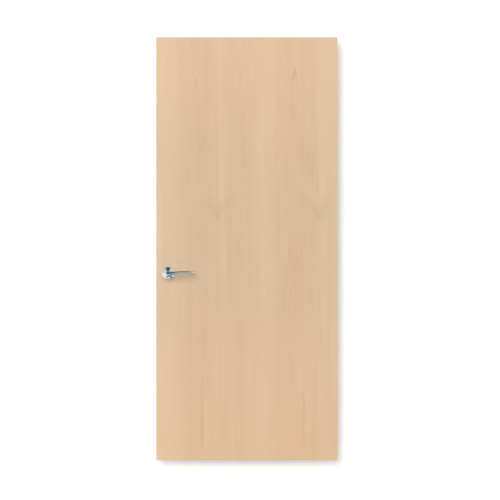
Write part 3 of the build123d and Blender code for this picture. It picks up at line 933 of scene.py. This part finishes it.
def stageMaterial(name, grey, glow, seenThrough):
    material, tree, shader = newMaterial(name, roughness=1.0, specular=0.0)
    shader.inputs["Base Color"].default_value = (grey, grey, grey, 1.0)
    shader.inputs["Emission Color"].default_value = (1.0, 1.0, 1.0, 1.0)
    rays = tree.nodes.new("ShaderNodeLightPath")
    seen = Signal(tree, rays.outputs["Is Camera Ray"]) * glow
    tree.links.new(seen.socket, shader.inputs["Emission Strength"])
    if seenThrough:
        clear = tree.nodes.new("ShaderNodeBsdfTransparent")
        sides = tree.nodes.new("ShaderNodeNewGeometry")
        depth = Signal(tree, rays.outputs["Ray Depth"])
        bounced = depth.math("GREATER_THAN", 0.5) * depth.math("LESS_THAN", 1.5)  # keeps the back light
        shadow = Signal(tree, rays.outputs["Is Shadow Ray"])
        passed = Signal(tree, sides.outputs["Backfacing"]).math("MAXIMUM", shadow).math("MAXIMUM", bounced)
        mix = tree.nodes.new("ShaderNodeMixShader")
        tree.links.new(passed.socket, mix.inputs[0])
        tree.links.new(shader.outputs[0], mix.inputs[1])
        tree.links.new(clear.outputs[0], mix.inputs[2])
        tree.links.new(mix.outputs[0], tree.nodes["Material Output"].inputs["Surface"])
    return material


def stagePlane(name, corners, material):
    mesh = bpy.data.meshes.new(name)
    mesh.from_pydata(corners, [], [tuple(range(len(corners)))])
    mesh.materials.append(material)
    plane = bpy.data.objects.new(name, mesh)
    scene.collection.objects.link(plane)
    return plane


wallY = backFace + stage["wallGap"]
floorZ = leafBottom - stage["floorGap"]
reach, top = stage["wallReach"], stage["wallTop"]
wallCorners = [(-reach, wallY, floorZ), (reach, wallY, floorZ), (reach, wallY, top), (-reach, wallY, top)]
wallPaint = stageMaterial("wallPaint", stage["wallGrey"], stage["wallGlow"], True)
wall = stagePlane("wall", wallCorners, wallPaint)
reach, front = stage["floorReach"], stage["floorFront"]
floorCorners = [(-reach, front, floorZ), (reach, front, floorZ)]
floorCorners += [(reach, reach, floorZ), (-reach, reach, floorZ)]
floorPaint = stageMaterial("floorPaint", stage["floorGrey"], stage["floorGlow"], False)
floor = stagePlane("floor", floorCorners, floorPaint)
floor.visible_glossy = False  # polished metal shows the dome below

# A dome that only polished metal shows. Its patches: from and to on the clock face round the lever, where
# 0 is straight up, then from and to away from the line of sight, in degrees, softness, and colour.
dome = {
    "radius": 3.0,
    "glow": 1.34,
    "patches": [
        (-84, 70, 26, 100, 7, (0.880, 0.990, 1.060)),
        (128, 198, 22, 48, 8, (0.860, 0.950, 0.940)),
        (132, 160, 22, 48, 5, (0.340, 0.400, 0.400)),
        (128, 218, 48, 100, 6, (0.180, 0.240, 0.250)),
        (-181, 181, -5, 18, 5, (0.500, 0.560, 0.610)),
        (-33, 22, 14, 46, 3, (0.050, 0.092, 0.122)),
        (-33, 22, 46, 110, 5, (0.130, 0.150, 0.190)),
        (-33, 22, 35, 43, 2, (0.120, 0.165, 0.215)),
    ],
}


def domeMaterial():
    material, tree, shader = newMaterial("domeGlow", roughness=1.0, specular=0.0)
    shader.inputs["Base Color"].default_value = (0, 0, 0, 1)
    x, y, z = objectPlace(tree)
    right, up = x - handleX, z - handleZ
    clock = right.math("ARCTAN2", up) * math.degrees(1)
    sideways = (right.squared() + up.squared()).math("SQRT")
    tilt = sideways.math("ARCTAN2", y.math("ABSOLUTE")) * math.degrees(1)
    glow = vector(tree, dome["glow"], dome["glow"], dome["glow"])
    for clockFrom, clockTo, tiltFrom, tiltTo, soft, colour in dome["patches"]:
        turned = clock
        if clockTo > 180 and clockFrom > 0:  # a patch across straight down
            turned = clock + clock.math("LESS_THAN", 0.0) * 360.0
        share = turned.between(clockFrom, clockTo, soft) * tilt.between(tiltFrom, tiltTo, soft)
        mix = tree.nodes.new("ShaderNodeMix")
        mix.data_type = "VECTOR"
        tree.links.new(share.socket, mix.inputs["Factor"])
        tree.links.new(glow, mix.inputs[4])
        mix.inputs[5].default_value = colour
        glow = mix.outputs[1]
    tree.links.new(glow, shader.inputs["Emission Color"])
    shader.inputs["Emission Strength"].default_value = 1.0
    return material


shell = bmesh.new()
bmesh.ops.create_uvsphere(shell, u_segments=48, v_segments=24, radius=dome["radius"],
                          matrix=Matrix.Translation((handleX, 0, handleZ)))
domeMesh = bpy.data.meshes.new("dome")
shell.to_mesh(domeMesh)
shell.free()
domeMesh.materials.append(domeMaterial())
domeObject = bpy.data.objects.new("dome", domeMesh)
scene.collection.objects.link(domeObject)
domeObject.visible_camera = domeObject.visible_diffuse = False
domeObject.visible_shadow = domeObject.visible_transmission = False

world = bpy.data.worlds.new("studio")
scene.world = world
world.use_nodes = True
worldTree = world.node_tree
rays = worldTree.nodes.new("ShaderNodeLightPath")
direct = Signal(worldTree, rays.outputs["Is Camera Ray"])
direct = direct.math("MAXIMUM", Signal(worldTree, rays.outputs["Is Glossy Ray"]))
direct = direct.math("MAXIMUM", Signal(worldTree, rays.outputs["Is Transmission Ray"]))
strength = direct * (1.0 - stage["worldStrength"]) + stage["worldStrength"]
backdrop = worldTree.nodes["Background"]
backdrop.inputs["Color"].default_value = (1.0, 1.0, 1.0, 1.0)
worldTree.links.new(strength.socket, backdrop.inputs["Strength"])


def sun(name, power, spread, direction, firstHitOnly=False):
    lamp = bpy.data.lights.new(name, "SUN")
    lamp.energy = power
    lamp.angle = math.radians(spread)
    if firstHitOnly:  # lights what the camera sees, and adds nothing to the light between surfaces
        lamp.use_nodes = True
        path = lamp.node_tree.nodes.new("ShaderNodeLightPath")
        first = Signal(lamp.node_tree, path.outputs["Ray Depth"]).math("LESS_THAN", 1.5)
        lamp.node_tree.links.new(first.socket, lamp.node_tree.nodes["Emission"].inputs["Strength"])
    lampObject = bpy.data.objects.new(name, lamp)
    lampObject.rotation_euler = Vector(direction).to_track_quat("-Z", "Y").to_euler()
    lampObject.visible_glossy = False  # polished metal shows the dome instead
    scene.collection.objects.link(lampObject)
    return lampObject


def linkStage(lampObject, state):  # INCLUDE: the lamp lights wall and floor alone, EXCLUDE: all but them
    receivers = bpy.data.collections.new(lampObject.name + "Receivers")
    for plane in (wall, floor):
        receivers.objects.link(plane)
    for entry in receivers.collection_objects:
        entry.light_linking.link_state = state
    lampObject.light_linking.receiver_collection = receivers


linkStage(sun("key", stage["keyPower"], stage["keySpread"], stage["keySlope"]), "EXCLUDE")
linkStage(sun("wallKey", stage["wallPower"], stage["wallSpread"], stage["wallSlope"]), "INCLUDE")
sun("backKey", stage["backPower"], stage["keySpread"], stage["backSlope"], True)

cameraData = bpy.data.cameras.new("camera")
cameraData.lens = cameraData.sensor_width * camera["distance"] / camera["fieldWidth"]
cameraObject = bpy.data.objects.new("camera", cameraData)
cameraObject.location = (
    lockEdge + camera["centreX"],
    frontFace - camera["distance"],
    leafBottom + camera["centreZ"],
)
cameraObject.rotation_euler = (math.radians(90), 0, 0)
cameraData.clip_end = 60.0
scene.collection.objects.link(cameraObject)
scene.camera = cameraObject
scene.view_settings.view_transform = "Standard"
print("stage, lamps and camera made")
